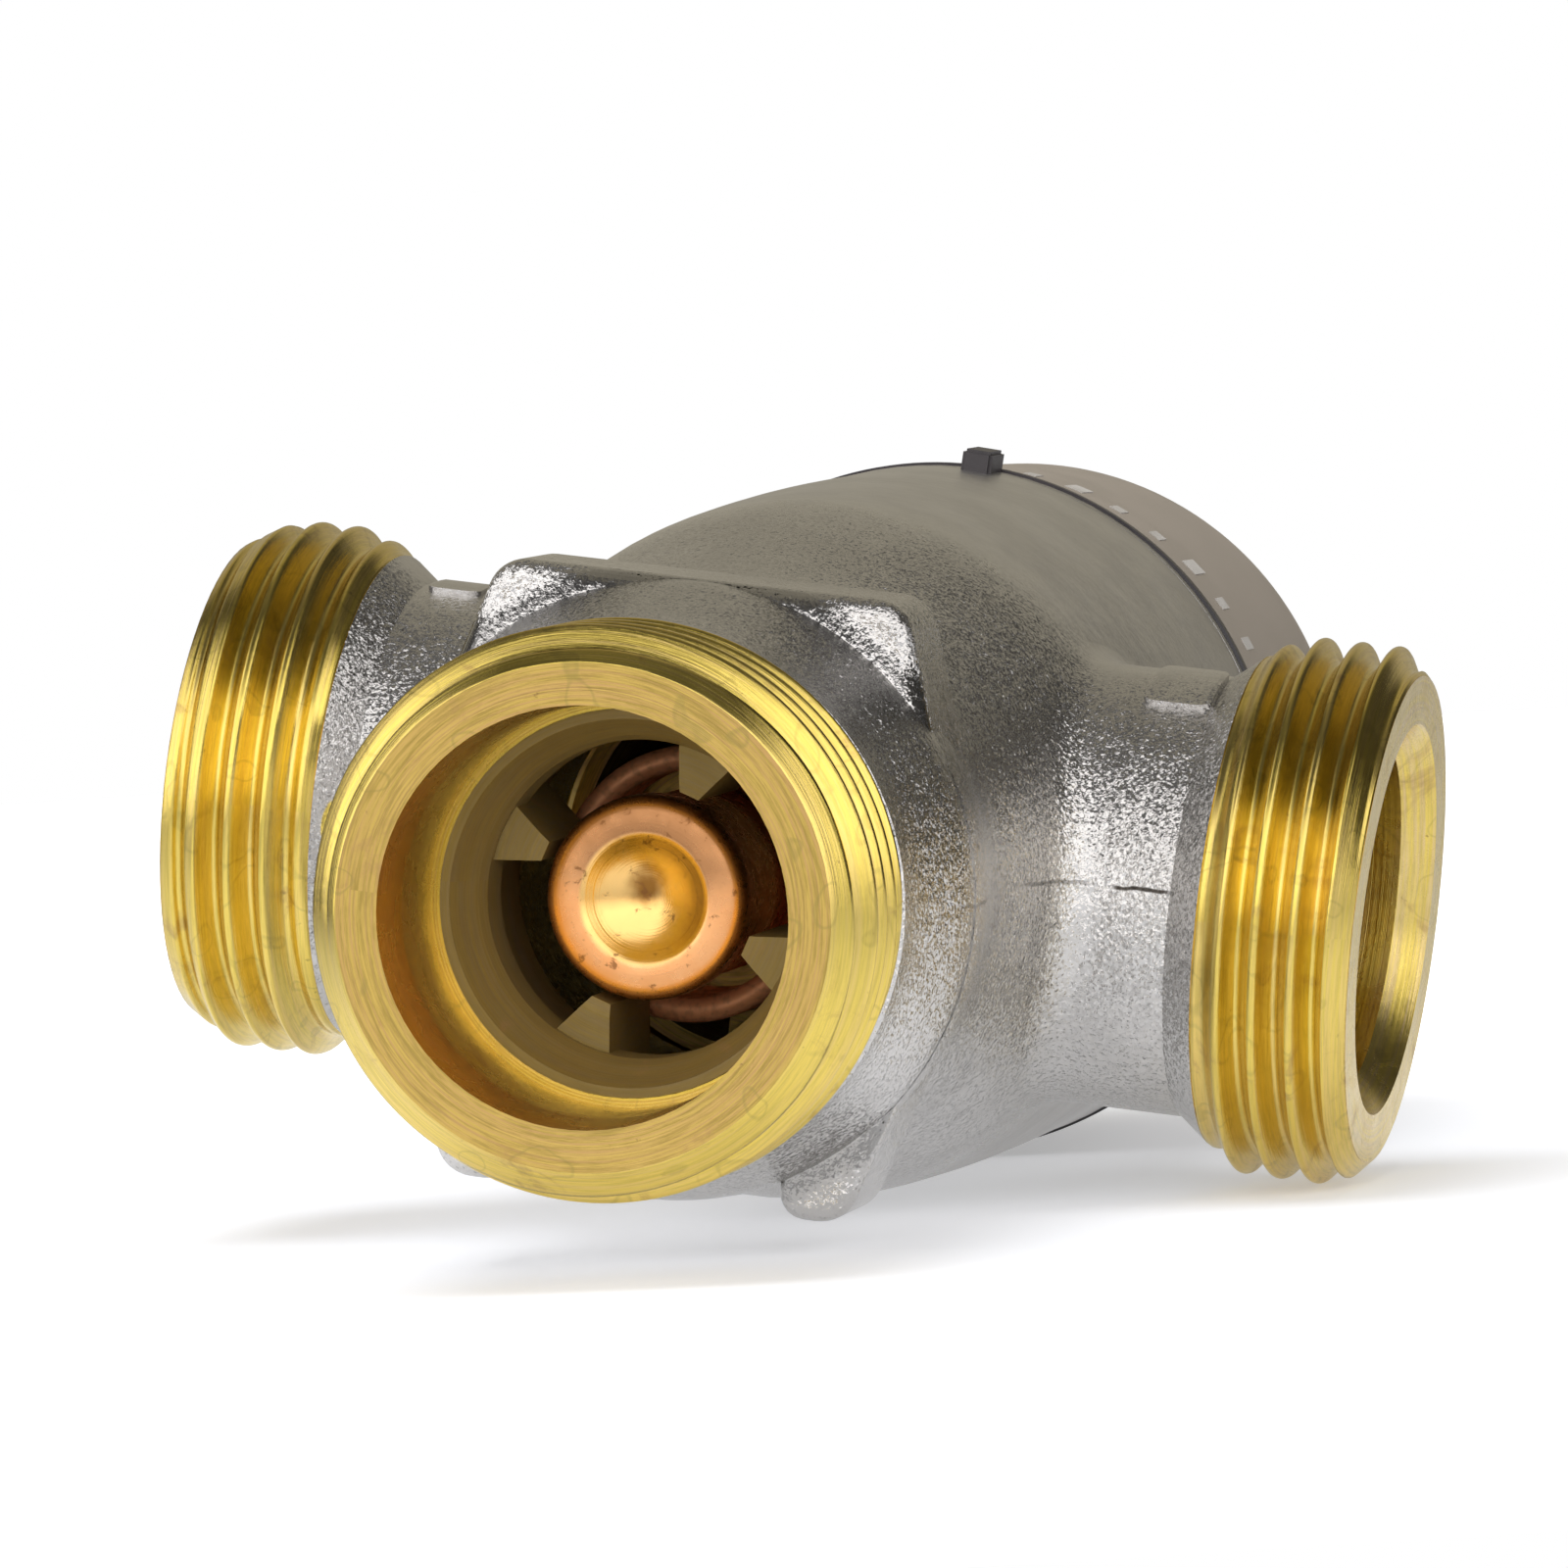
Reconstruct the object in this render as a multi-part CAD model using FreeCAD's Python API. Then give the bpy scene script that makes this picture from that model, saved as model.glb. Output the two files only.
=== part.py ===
"""Thermostatic mixing valve, DN 20: cast body with three G 1 ports, wax element, slide and adjusting cap.

Frame: origin where the axis of the two side ports crosses the outlet axis. +X points out of the right
port, -Y out of the mixed outlet, +Z up. Millimetres.
"""
import FreeCAD
import Part
import math
import os
from FreeCAD import Vector as V

# ---- driving dimensions -------------------------------------------------------------------------
THREAD_PITCH = 25.4 / 11            # G 1, ISO 228
CREST_R = 33.249 / 2
ROOT_R = 30.291 / 2
FLANK = math.tan(math.radians(27.5)) * (CREST_R - ROOT_R)
CREST_LAND = (THREAD_PITCH - 2 * FLANK) / 2

OUTLET_FACE = -54.4                 # Y of the outlet's sealing face
PORT_FACE = 37.25                   # X of the side ports' sealing faces
SEAM = 36.0                         # Y where the casting ends and the cap begins
CAP_END = 75.0                      # Y of the cap's crown

BULB_R = 22.45                      # casting at the seam
SHOULDER_R = 21.5                   # casting in front of the side ports
NECK_R = 17.3                       # waist between the flats and the bulb
OUTLET_NECK_R = 16.3
SIDE_NECK_R = 13.6
OUTLET_BORE_R = 11.85
SIDE_BORE_R = 10.5

FLAT_FRONT = -34.4                  # Y of the front of the flats
FLAT_DEPTH = 8.4
FLAT_HALF_Z = 18.4
FLAT_HALF_X = 12.3
COLLAR_R = 18.25                    # round of the collar, out of the flare
PLATE_R = 17.4                      # round part of the plate with the flats, inside the collar
LUG_GAP = 8.2                       # half the gap between the two lugs under the collar
LUG_ROOT = 15.8
PAD_HEIGHT = 0.35                   # raised pads cast on the side necks

CHAMBER_R = 17.0                    # inlet chambers on both sides of the web
WEB_R = 13.06                       # bore the slide runs in
WEB_HALF = 4.0
FRONT_SEAT = -14.0
REAR_SEAT = 14.0
MIX_R = 12.2                        # mixing chamber between slide and outlet

FIT = 0.03                          # radial clearance of pieces that sit in each other
INSERT_R = 11.3

SLIDE_R = 13.0
SLIDE_FRONT = -10.7
SLIDE_REAR = 12.4

ELEMENT_FACE = -40.4                # Y of the copper cup's dished end
CUP_R = 6.0
RIB_TIP_R = 6.55
RIB_END = -30.8

SPINDLE_R = 5.0
CARRIAGE_R = 8.9


# ---- shape helpers ------------------------------------------------------------------------------
def about_y(points):
    """Solid of revolution about Y from (radius, y) points."""
    wire = Part.makePolygon([V(r, y, 0) for r, y in points + points[:1]])
    return Part.Face(wire).revolve(V(0, 0, 0), V(0, 1, 0), 360)


def about_x(points):
    """Solid of revolution about X from (x, radius) points."""
    wire = Part.makePolygon([V(x, r, 0) for x, r in points + points[:1]])
    return Part.Face(wire).revolve(V(0, 0, 0), V(1, 0, 0), 360)


def tube_y(outer, inner, start, end):
    """Plain tube about Y."""
    return about_y([(inner, start), (outer, start), (outer, end), (inner, end)])


def rod_y(radius, start, end):
    """Plain cylinder about Y."""
    return Part.makeCylinder(radius, end - start, V(0, start, 0), V(0, 1, 0))


def ring_y(mean_r, wire_r, y):
    """Round-section ring about Y, such as an O-ring."""
    return Part.makeTorus(mean_r, wire_r, V(0, y, 0), V(0, 1, 0))


def box(x0, x1, y0, y1, z0, z1):
    return Part.makeBox(x1 - x0, y1 - y0, z1 - z0, V(x0, y0, z0))


def spin_y(shape, count):
    """The shape and its copies, spaced evenly about Y."""
    copies = []
    for k in range(count):
        copy = shape.copy()
        copy.rotate(V(0, 0, 0), V(0, 1, 0), 360.0 * k / count)
        copies.append(copy)
    return copies


def coil_y(mean_r, wire_r, start, end, turns):
    """Compression spring about Y; start and end are the outsides of its end coils."""
    low = start + wire_r
    height = end - start - 2 * wire_r
    helix = Part.makeHelix(height / turns, height, mean_r)
    section = Part.Wire(Part.makeCircle(wire_r, V(mean_r, 0, 0), V(0, 1, 0)))
    sweep = Part.Wire(helix.Edges).makePipeShell([section], True, True)
    sweep.rotate(V(0, 0, 0), V(1, 0, 0), -90)
    sweep.translate(V(0, low, 0))
    return sweep


def male_thread(face, first_crest, rim_r, crests):
    """(distance, radius) outline of a threaded spigot from its face inwards, one crest a pitch."""
    outline = [(face, rim_r)]
    for k in range(crests):
        middle = face - first_crest - k * THREAD_PITCH
        half = CREST_LAND / 2
        outline.append((middle + half, CREST_R))
        outline.append((middle - half, CREST_R))
        outline.append((middle - half - FLANK, ROOT_R))
        if k < crests - 1:
            outline.append((middle - half - FLANK - CREST_LAND, ROOT_R))
    return outline


# ---- casting ------------------------------------------------------------------------------------
def bulb():
    """Flare behind the outlet, waist, shoulder and bulb: one smooth curve revolved about Y."""
    front = -43.0
    flare = V(OUTLET_NECK_R, -42.4, 0)
    end = V(BULB_R, SEAM - 0.4, 0)
    curve = Part.BSplineCurve()
    curve.interpolate([
        flare,
        V(OUTLET_NECK_R + 0.35, -39.6, 0),
        V(COLLAR_R - 0.6, FLAT_FRONT - 2.2, 0),
        V(COLLAR_R, FLAT_FRONT, 0),
        V(COLLAR_R + 0.05, FLAT_FRONT + 3.0, 0),
        V(COLLAR_R - 0.45, FLAT_FRONT + 6.4, 0),
        V(NECK_R, -24, 0),
        V(NECK_R + 0.5, -19.5, 0),
        V(19.3, -13.5, 0),
        V(SHOULDER_R - 0.5, -7, 0),
        V(SHOULDER_R + 0.35, 2, 0),
        V(BULB_R - 0.15, 18, 0),
        end,
    ])
    edges = [
        Part.makeLine(V(0, front, 0), V(OUTLET_NECK_R, front, 0)),
        Part.makeLine(V(OUTLET_NECK_R, front, 0), flare),
        curve.toShape(),
        Part.makeLine(end, V(0, end.y, 0)),
        Part.makeLine(V(0, end.y, 0), V(0, front, 0)),
    ]
    return Part.Face(Part.Wire(edges)).revolve(V(0, 0, 0), V(0, 1, 0), 360)


def flats():
    """Collar on the flare: flat on top, two rounded lugs below, its corners standing out of the round."""
    reach = math.hypot(FLAT_HALF_X, FLAT_HALF_Z)
    tangent = math.atan2(FLAT_HALF_Z, FLAT_HALF_X) - math.acos(PLATE_R / reach)
    side_x = PLATE_R * math.cos(tangent)
    side_z = PLATE_R * math.sin(tangent)
    outline = [(side_x, -side_z), (FLAT_HALF_X, -FLAT_HALF_Z), (LUG_GAP, -FLAT_HALF_Z), (LUG_GAP, -LUG_ROOT)]
    outline += [(-x, z) for x, z in reversed(outline)]
    outline += [(-side_x, side_z), (-FLAT_HALF_X, FLAT_HALF_Z), (FLAT_HALF_X, FLAT_HALF_Z), (side_x, side_z)]
    points = [V(x, 0, z) for x, z in outline]
    left = points.index(V(-side_x, 0, -side_z))
    edges = [Part.makeLine(a, b) for k, (a, b) in enumerate(zip(points, points[1:])) if k != left]
    edges.append(Part.Arc(points[left], V(-PLATE_R, 0, 0), points[left + 1]).toShape())
    edges.append(Part.Arc(points[-1], V(PLATE_R, 0, 0), points[0]).toShape())
    plate = Part.Face(Part.Wire(Part.sortEdges(edges)[0])).extrude(V(0, FLAT_DEPTH, 0))
    plate = plate.makeFillet(2.4, upright_edges(plate, FLAT_HALF_X))
    plate = plate.makeFillet(1.6, upright_edges(plate, LUG_GAP, below=-LUG_ROOT - 1))
    rims = [e for e in plate.Edges if e.BoundBox.YLength < 0.01]
    plate = plate.makeFillet(1.1, rims)
    plate.translate(V(0, FLAT_FRONT, 0))
    return plate


def upright_edges(plate, half_x, below=math.inf):
    """Edges along Y of the collar's plate at X = +-half_x and under the given height."""
    return [e for e in plate.Edges if e.BoundBox.XLength < 0.01 and e.BoundBox.ZLength < 0.01
            and abs(abs(e.CenterOfMass.x) - half_x) < 0.01 and e.CenterOfMass.z < below]


def outlet_spigot():
    """Threaded outlet: wide chamfer, four crests, then the neck."""
    outline = male_thread(0, 2.38, 14.56, 4)
    points = [(r, OUTLET_FACE - d) for d, r in outline]
    points.append((OUTLET_NECK_R, points[-1][1] + 0.8))
    points.append((OUTLET_NECK_R, -40))
    points.append((0, -40))
    points.append((0, OUTLET_FACE))
    return about_y(points)


def side_spigot(direction):
    """Threaded side port with its neck, out of the right (+1) or left (-1) side."""
    points = male_thread(PORT_FACE, 1.66, 15.0, 4)
    points.append((25.7, SIDE_NECK_R))
    points.append((10, SIDE_NECK_R))
    points.append((10, 0))
    points.append((PORT_FACE, 0))
    return about_x([(direction * x, r) for x, r in points])


def side_bore(direction):
    """Bore of a side port, and its passage into the chamber on its own side of the web."""
    mouth = about_x([(direction * x, r) for x, r in [
        (PORT_FACE + 1, 0), (PORT_FACE + 1, 12.05), (PORT_FACE, 12.05),
        (PORT_FACE - 1.9, SIDE_BORE_R), (19.2, SIDE_BORE_R), (19.2, 0)]])
    passage = about_x([(direction * x, r) for x, r in [
        (20, 0), (20, SIDE_BORE_R), (12, SIDE_BORE_R), (12, 0)]])
    if direction > 0:
        keep = box(10, 30, WEB_HALF, SIDE_BORE_R + 1, -15, 15)
    else:
        keep = box(-30, -10, -SIDE_BORE_R - 1, -WEB_HALF, -15, 15)
    return mouth.fuse(passage.common(keep))


def main_bore():
    """Everything bored along Y: outlet, insert seat, mixing chamber, inlet chambers, bonnet seat."""
    step = OUTLET_FACE + 10.5
    return about_y([
        (0, OUTLET_FACE - 1), (12.1, OUTLET_FACE - 1), (12.1, OUTLET_FACE),
        (OUTLET_BORE_R, OUTLET_FACE + 4.3), (OUTLET_BORE_R, step),
        (INSERT_R, step), (INSERT_R, -29.4), (MIX_R, -28.4), (MIX_R, FRONT_SEAT),
        (CHAMBER_R, FRONT_SEAT), (CHAMBER_R, -WEB_HALF), (WEB_R, -WEB_HALF),
        (WEB_R, WEB_HALF), (CHAMBER_R, WEB_HALF), (CHAMBER_R, 31.2),
        (19.4, 31.2), (19.4, SEAM), (0, SEAM)])


def neck_pad(start, end, from_top, sweep):
    """Raised plain pad on a side neck, from X start to end; it sweeps towards the outlet side."""
    low = SIDE_NECK_R - 0.5
    high = SIDE_NECK_R + PAD_HEIGHT
    corners = [V(start, 0, low), V(start, 0, high - 0.1), V(start + 0.3, 0, high), V(end - 0.3, 0, high),
               V(end, 0, high - 0.1), V(end, 0, low)]
    pad = Part.Face(Part.makePolygon(corners + corners[:1])).revolve(V(0, 0, 0), V(1, 0, 0), sweep)
    pad.rotate(V(0, 0, 0), V(1, 0, 0), from_top)
    upright = [e for e in pad.Edges if e.BoundBox.XLength < 0.01 and e.BoundBox.ZLength < 2
               and 0.2 < e.Length < 1 and e.CenterOfMass.Length > low]
    return pad.makeFillet(0.8, upright)


def valve_body():
    """The casting with its three ports, machined threads and bores."""
    shell = bulb()
    necks = side_spigot(1).fuse(side_spigot(-1))
    body = shell.fuse([necks, flats(), outlet_spigot()]).removeSplitter()
    meeting = [e for e in body.Edges if on_neck_joint(e)]
    body = body.makeFillet(3.2, meeting)
    body = body.fuse([neck_pad(21.4, 25.6, 2, 27), neck_pad(-25.2, -21.8, -12, 24)])
    return body.cut([main_bore(), side_bore(1), side_bore(-1)])


def on_neck_joint(edge):
    """True for the curves where the side necks leave the bulb."""
    bounds = edge.BoundBox
    off_axis = math.hypot(edge.CenterOfMass.y, edge.CenterOfMass.z)
    inner = 15 < abs(edge.CenterOfMass.x) < 23
    return inner and bounds.ZLength > 8 and off_axis < SIDE_NECK_R + 1


# ---- outlet insert and wax element --------------------------------------------------------------
def outlet_guide():
    """Insert with a dished front, a short throat and four ribs that guide the element."""
    front = OUTLET_FACE + 10.4
    outer = INSERT_R - FIT
    ring = about_y([
        (10.7, front), (outer, front), (outer, -30.0), (10.3, -30.0), (10.3, front + 6.2),
        (9.3, front + 6.2), (9.3, front + 3.3), (9.6, front + 2.5), (10.1, front + 1.5)])
    rib_root = front + 3.3
    rib_tip = front + 3.8
    profile = Part.makePolygon([
        V(10.6, 0, 2.35), V(RIB_TIP_R, 0, 0.6), V(RIB_TIP_R, 0, -0.6), V(10.6, 0, -2.35), V(10.6, 0, 2.35)])
    rib = Part.Face(profile).extrude(V(0, RIB_END - rib_tip, 0))
    rib.translate(V(0, rib_tip, 0))
    ribs = spin_y(rib, 4)
    for one in ribs:
        one.rotate(V(0, 0, 0), V(0, 1, 0), 18)
    dish = about_y([
        (0, rib_root - 6), (9.9, rib_root - 6), (9.3, rib_root), (RIB_TIP_R - 0.4, rib_tip + 0.3),
        (0, rib_tip + 0.3)])
    return ring.fuse(ribs).cut(dish).removeSplitter()


def element_cup():
    """Copper cup of the wax element: dished end, thick head, plain barrel, flange."""
    face = ELEMENT_FACE
    points = [
        (0, face + 1.5), (0.5, face + 1.3), (2.6, face + 0.95), (3.6, face + 0.35), (3.9, face),
        (5.45, face), (5.85, face + 0.16), (CUP_R, face + 0.55), (CUP_R, face + 2.9),
        (5.6, face + 3.2), (5.6, -19.2), (7.6, -19.2), (7.6, -17.6), (0, -17.6)]
    return about_y(points)


def element_collar():
    """Brass collar crimped over the cup's flange."""
    return about_y([
        (5.6 + FIT, -20.2), (8.0, -20.2), (8.4, -19.8), (8.4, -13.0), (4.2 + FIT, -13.0),
        (4.2 + FIT, -17.6 + FIT), (7.6 + FIT, -17.6 + FIT), (7.6 + FIT, -19.2 - FIT),
        (5.6 + FIT, -19.2 - FIT)])


def element_guide():
    """Guide stem that the piston pin slides in."""
    return about_y([(1.65, -17.5), (4.2, -17.5), (4.2, -3.4), (3.2, -2.4), (1.65, -2.4)])


def piston_pin():
    """Polished pin pushed out by the wax."""
    return about_y([(0, -12.0), (1.6, -12.0), (1.6, 6.1), (1.2, 6.5), (0, 6.5)])


def return_spring():
    """Spring from the back of the guide ribs to the element's collar."""
    return coil_y(7.45, 0.75, RIB_END + 0.05, -20.25, 3.6)


# ---- slide and seats ----------------------------------------------------------------------------
def shuttle():
    """Slide between the two seats: a tube with a seal groove, a hub and four spokes."""
    wall = about_y([
        (11.6, SLIDE_FRONT), (12.6, SLIDE_FRONT), (SLIDE_R, SLIDE_FRONT + 0.5),
        (SLIDE_R, -1.1), (12.0, -1.1), (12.0, 1.1), (SLIDE_R, 1.1),
        (SLIDE_R, SLIDE_REAR - 0.5), (12.6, SLIDE_REAR), (11.6, SLIDE_REAR)])
    hub = tube_y(7.4, 4.2 + FIT, -13.0 + FIT, -8.0)
    spoke = box(6.9, 11.9, -10.6, -8.0, -1.3, 1.3)
    spokes = spin_y(spoke, 4)
    return wall.fuse(hub).fuse(spokes).removeSplitter()


def shuttle_o_ring():
    """Seal in the groove of the slide."""
    return ring_y(12.52, 0.5, 0)


def rear_seat():
    """Seat ring pressed against the bonnet behind the slide."""
    return about_y([
        (MIX_R, REAR_SEAT), (13.6, REAR_SEAT), (14.0, REAR_SEAT + 0.4), (CHAMBER_R - FIT, REAR_SEAT + 0.4),
        (CHAMBER_R - FIT, 17.0), (MIX_R, 17.0)])


# ---- adjusting unit -----------------------------------------------------------------------------
def carriage():
    """Sliding nut with two keys; holds the overload spring and sets where the pin stops."""
    barrel = about_y([
        (7.1, 4.6), (8.5, 4.6), (CARRIAGE_R, 5.0), (CARRIAGE_R, 24.0), (4.03, 24.0), (4.03, 20.6),
        (7.1, 20.6)])
    keys = [box(-10.3, -8.0, 18.0, 24.0, -1.5, 1.5), box(8.0, 10.3, 18.0, 24.0, -1.5, 1.5)]
    groove = tube_y(7.7, 7.0, 5.4, 6.2)
    bore = rod_y(7.1, 4.0, 20.6)
    return barrel.fuse(keys).cut(groove).cut(bore)


def carriage_clip():
    """Wire ring in the carriage's groove, open at one side."""
    ring = tube_y(7.65, 6.3, 5.45, 6.15)
    return ring.cut(box(-1.4, 1.4, 5, 7, 5, 9))


def overload_cup():
    """Cup that the pin bears on."""
    return about_y([
        (0, 6.55), (6.2, 6.55), (6.9, 6.9), (6.9, 11.4), (6.1, 11.4), (6.1, 8.1), (0, 8.1)])


def overload_spring():
    """Stiff spring between the cup and the back of the carriage."""
    return coil_y(5.2, 0.65, 8.12, 20.55, 5.2)


def bonnet():
    """Brass cover screwed into the back of the casting, with the spindle's bearing nose."""
    shape = about_y([
        (9.0, 17.05), (15.6, 17.05), (16.2, 17.6), (CHAMBER_R - FIT, 17.6), (CHAMBER_R - FIT, 27.0),
        (15.9, 27.0), (15.9, 29.2), (CHAMBER_R - FIT, 29.2), (CHAMBER_R - FIT, 31.23), (19.35, 31.23), (19.35, 35.3),
        (14.0, 35.3), (13.0, 36.2), (11.0, 36.2), (11.0, 46.6), (10.4, 47.2),
        (SPINDLE_R + FIT, 47.2), (SPINDLE_R + FIT, 30.4), (9.0, 30.4)])
    slots = [box(-10.45, -8.5, 15.0, 26.6, -1.6, 1.6), box(8.5, 10.45, 15.0, 26.6, -1.6, 1.6)]
    return shape.cut(slots)


def bonnet_o_ring():
    """Seal between bonnet and casting."""
    return ring_y(16.44, 0.5, 28.1)


def spindle():
    """Adjusting spindle: thread for the carriage, thrust collar, sealed shaft, squared end."""
    shaft = about_y([
        (0, 16.4), (3.6, 16.4), (4.0, 16.8), (4.0, 26.9), (7.6, 26.9), (7.6, 29.3),
        (SPINDLE_R, 29.3), (SPINDLE_R, 38.0), (4.1, 38.0), (4.1, 39.9), (SPINDLE_R, 39.9),
        (SPINDLE_R, 47.5), (4.4, 47.5), (4.4, 48.4), (SPINDLE_R, 48.4), (SPINDLE_R, 62.0),
        (0, 62.0)])
    half = 3.8
    square = box(-half, half, 49.6, 62.0, -half, half)
    end = rod_y(SPINDLE_R + 1, 49.6, 63.0).cut(square)
    screw_hole = rod_y(2.0, 50.5, 63.0)
    return shaft.cut(end).cut(screw_hole)


def thrust_washer():
    """Low-friction washer between the spindle's collar and the bonnet."""
    return tube_y(8.2, SPINDLE_R + 0.1, 29.35, 30.35)


def spindle_o_ring():
    """Seal round the spindle."""
    return ring_y(4.56, 0.43, 38.95)


def spindle_clip():
    """Retaining ring that holds the spindle in the bonnet's nose."""
    ring = tube_y(7.2, 4.45, 47.6, 48.3)
    return ring.cut(box(-1.6, 1.6, 47, 49, 3, 9))


# ---- cap ----------------------------------------------------------------------------------------
def index_ring():
    """Thin ring in the seam with a small block that the cap's scale is read against."""
    front = SEAM - 0.36
    rear = SEAM + 0.5
    ring = tube_y(21.9, 19.7, front, rear)
    block = box(-1.2, 1.2, SEAM - 8.2, rear, 20.5, 24.1)
    top = [e for e in block.Edges if e.CenterOfMass.z > 24.0]
    bulb_room = rod_y(BULB_R + 0.02, SEAM - 9, front)
    block = block.makeFillet(0.35, top).cut(bulb_room)
    block.rotate(V(0, 0, 0), V(0, 1, 0), 7)
    return ring.fuse(block).removeSplitter()


def cap():
    """Adjusting cap: smooth drum with a rounded crown, hub with a square socket, inner ribs."""
    wall = 2.2
    rim = SEAM + 0.7
    crown_r = 11.0
    shoulder = V(21.55, CAP_END - crown_r - 1.2, 0)
    top = V(shoulder.x - crown_r, CAP_END - 0.9, 0)
    bend = V(shoulder.x - crown_r + crown_r * math.cos(math.pi / 4),
             shoulder.y + (top.y - shoulder.y) * math.sin(math.pi / 4), 0)
    outer = [
        Part.makeLine(V(BULB_R - 0.35, rim, 0), V(BULB_R - 0.1, rim + 0.4, 0)),
        Part.makeLine(V(BULB_R - 0.1, rim + 0.4, 0), shoulder),
        Part.Arc(shoulder, bend, top).toShape(),
        Part.Arc(top, V(5.4, CAP_END - 0.25, 0), V(0, CAP_END, 0)).toShape(),
        Part.makeLine(V(0, CAP_END, 0), V(0, rim, 0)),
        Part.makeLine(V(0, rim, 0), V(BULB_R - 0.35, rim, 0)),
    ]
    drum = Part.Face(Part.Wire(outer)).revolve(V(0, 0, 0), V(0, 1, 0), 360)
    inner_r = BULB_R - 0.1 - wall
    hollow = about_y([
        (0, rim - 1), (inner_r, rim - 1), (inner_r, rim + 2), (19.2, CAP_END - crown_r - 2),
        (16.6, CAP_END - 5.4), (10.5, CAP_END - wall - 1.6), (0, CAP_END - wall - 1.6)])
    shell = drum.cut(hollow)
    hub = rod_y(8.2, 50.0, CAP_END - wall - 1)
    rib = box(7.6, 19.9, 52.0, CAP_END - wall - 1, -0.75, 0.75)
    web = drum.common(hub.fuse(spin_y(rib, 6)))
    half = 3.8 + FIT
    socket = box(-half, half, 49.0, 62.4, -half, half)
    screw_way = rod_y(2.2, 60.0, 68.0).fuse(rod_y(4.6, 67.0, CAP_END + 1))
    return shell.fuse(web).cut(socket).cut(screw_way).removeSplitter()


def cap_screw():
    """Socket-head screw that draws the cap onto the spindle."""
    body = rod_y(1.95, 51.0, 67.5).fuse(rod_y(3.9, 67.05, 70.6))
    rim = [e for e in body.Edges if e.BoundBox.YLength < 0.01 and abs(e.CenterOfMass.y - 70.6) < 0.01]
    body = body.makeFillet(0.4, rim)
    corners = [V(1.75 * math.cos(k * math.pi / 3), 68.4, 1.75 * math.sin(k * math.pi / 3)) for k in range(7)]
    key = Part.Face(Part.makePolygon(corners)).extrude(V(0, 3, 0))
    return body.cut(key)


NODES = {
    "valve_body": valve_body,
    "outlet_guide": outlet_guide,
    "element_cup": element_cup,
    "element_collar": element_collar,
    "element_guide": element_guide,
    "piston_pin": piston_pin,
    "return_spring": return_spring,
    "shuttle": shuttle,
    "shuttle_o_ring": shuttle_o_ring,
    "rear_seat": rear_seat,
    "carriage": carriage,
    "carriage_clip": carriage_clip,
    "overload_cup": overload_cup,
    "overload_spring": overload_spring,
    "bonnet": bonnet,
    "bonnet_o_ring": bonnet_o_ring,
    "spindle": spindle,
    "thrust_washer": thrust_washer,
    "spindle_o_ring": spindle_o_ring,
    "spindle_clip": spindle_clip,
    "index_ring": index_ring,
    "cap": cap,
    "cap_screw": cap_screw,
}

os.makedirs("parts", exist_ok=True)
for name, make in NODES.items():
    solid = make()
    print(name, "solids", len(solid.Solids), "valid", solid.isValid(), "volume %.1f" % solid.Volume)
    solid.exportStep(os.path.join("parts", name + ".step"))
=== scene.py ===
"""Looks of the thermostatic mixing valve: plated casting, brass ports, copper element, plastic cap."""

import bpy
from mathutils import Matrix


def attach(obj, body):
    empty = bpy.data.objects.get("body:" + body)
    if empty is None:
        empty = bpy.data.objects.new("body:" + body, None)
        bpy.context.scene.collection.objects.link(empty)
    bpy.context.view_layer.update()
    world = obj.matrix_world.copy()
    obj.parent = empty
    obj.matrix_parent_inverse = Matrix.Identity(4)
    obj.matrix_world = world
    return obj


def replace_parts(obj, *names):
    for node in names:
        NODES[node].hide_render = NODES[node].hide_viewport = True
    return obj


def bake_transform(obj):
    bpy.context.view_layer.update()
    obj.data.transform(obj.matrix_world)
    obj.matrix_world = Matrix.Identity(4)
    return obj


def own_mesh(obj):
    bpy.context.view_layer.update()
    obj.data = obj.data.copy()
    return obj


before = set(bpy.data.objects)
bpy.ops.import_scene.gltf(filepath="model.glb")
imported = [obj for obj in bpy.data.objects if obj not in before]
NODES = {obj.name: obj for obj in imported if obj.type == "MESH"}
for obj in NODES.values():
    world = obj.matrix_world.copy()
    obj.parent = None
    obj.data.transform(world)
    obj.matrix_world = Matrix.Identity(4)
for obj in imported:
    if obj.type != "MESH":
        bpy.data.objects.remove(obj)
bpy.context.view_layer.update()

import math

import bmesh
import bpy
from mathutils import Matrix, Vector

MM = 0.001
DEGREE = math.radians(1)


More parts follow.
